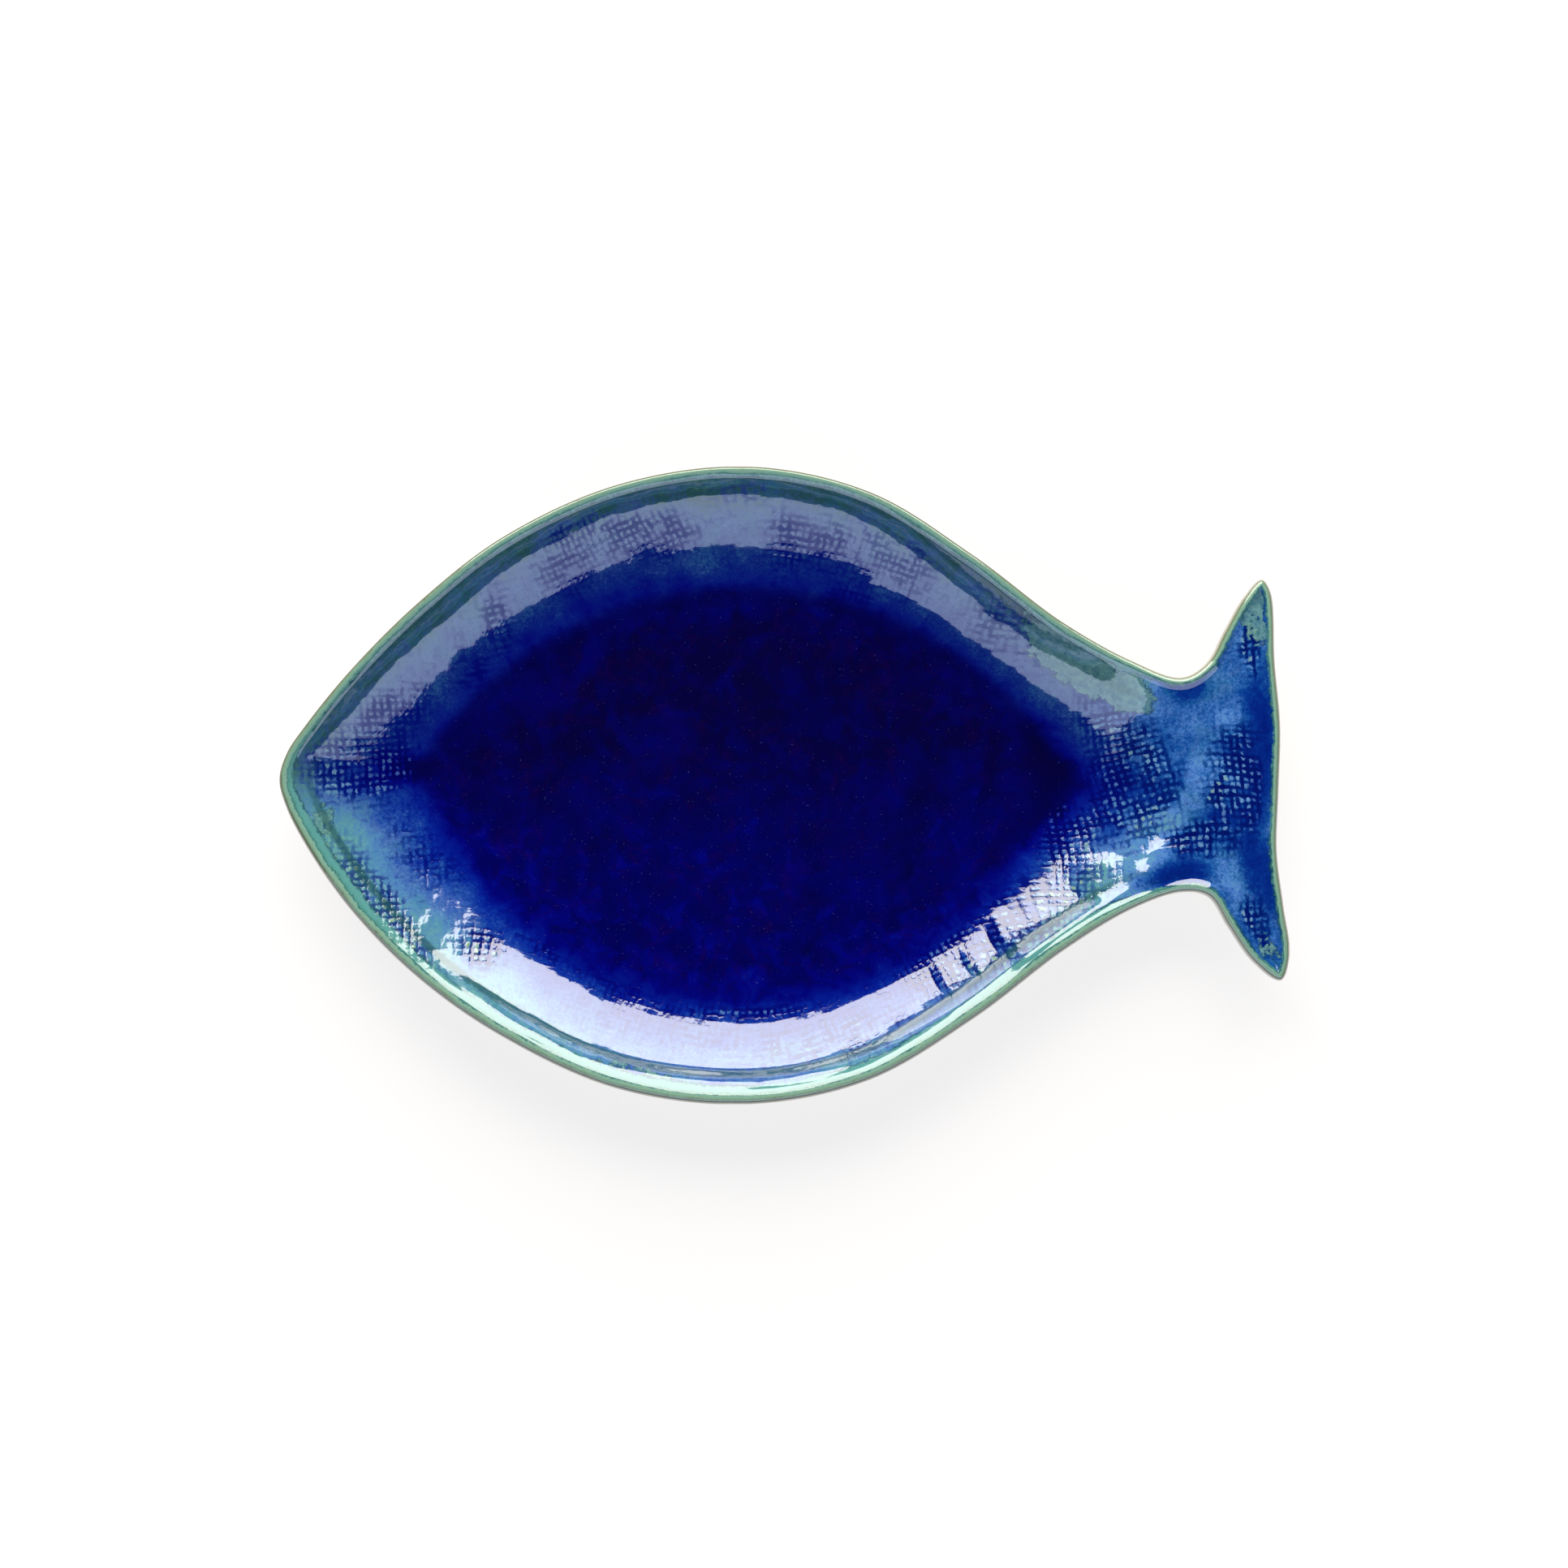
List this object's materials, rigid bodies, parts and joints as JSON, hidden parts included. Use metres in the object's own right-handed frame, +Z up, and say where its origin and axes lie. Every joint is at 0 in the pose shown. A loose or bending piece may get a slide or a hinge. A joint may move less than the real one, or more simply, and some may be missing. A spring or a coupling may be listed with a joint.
{
  "type": "fish shaped platter",
  "caption": "Fish-shaped stoneware serving platter with a leaf-shaped well, a rounded lip, a level tail and a bare foot ring under reactive blue glaze.",
  "frame": {"origin": "centre of the platter's outline, on the table it stands on", "axes": "+X runs from the nose to the tail, +Y across the fish towards its back, +Z up from the table to the rim"},
  "size_m": [0.4, 0.253, 0.033],
  "materials": {
    "stoneware": "fired stoneware, matt",
    "bare_clay": "bare fired clay, sponged smooth",
    "blue_glaze": "gloss, mottled royal blue to turquoise over a cloth-weave impression",
    "celadon_glaze": "gloss, pale green breaking to olive on the lip",
    "cream_glaze": "satin, cream with fine speckle",
    "cobalt_glass": "deep gloss, dark cobalt with a violet mottle"
  },
  "bodies": {
    "root": {"stoneware_body": "stoneware", "foot_ring": "bare_clay", "face_glaze": "blue_glaze", "lip_glaze": "celadon_glaze", "outside_glaze": "cream_glaze", "well_pool": "cobalt_glass"}
  },
  "joints": []
}
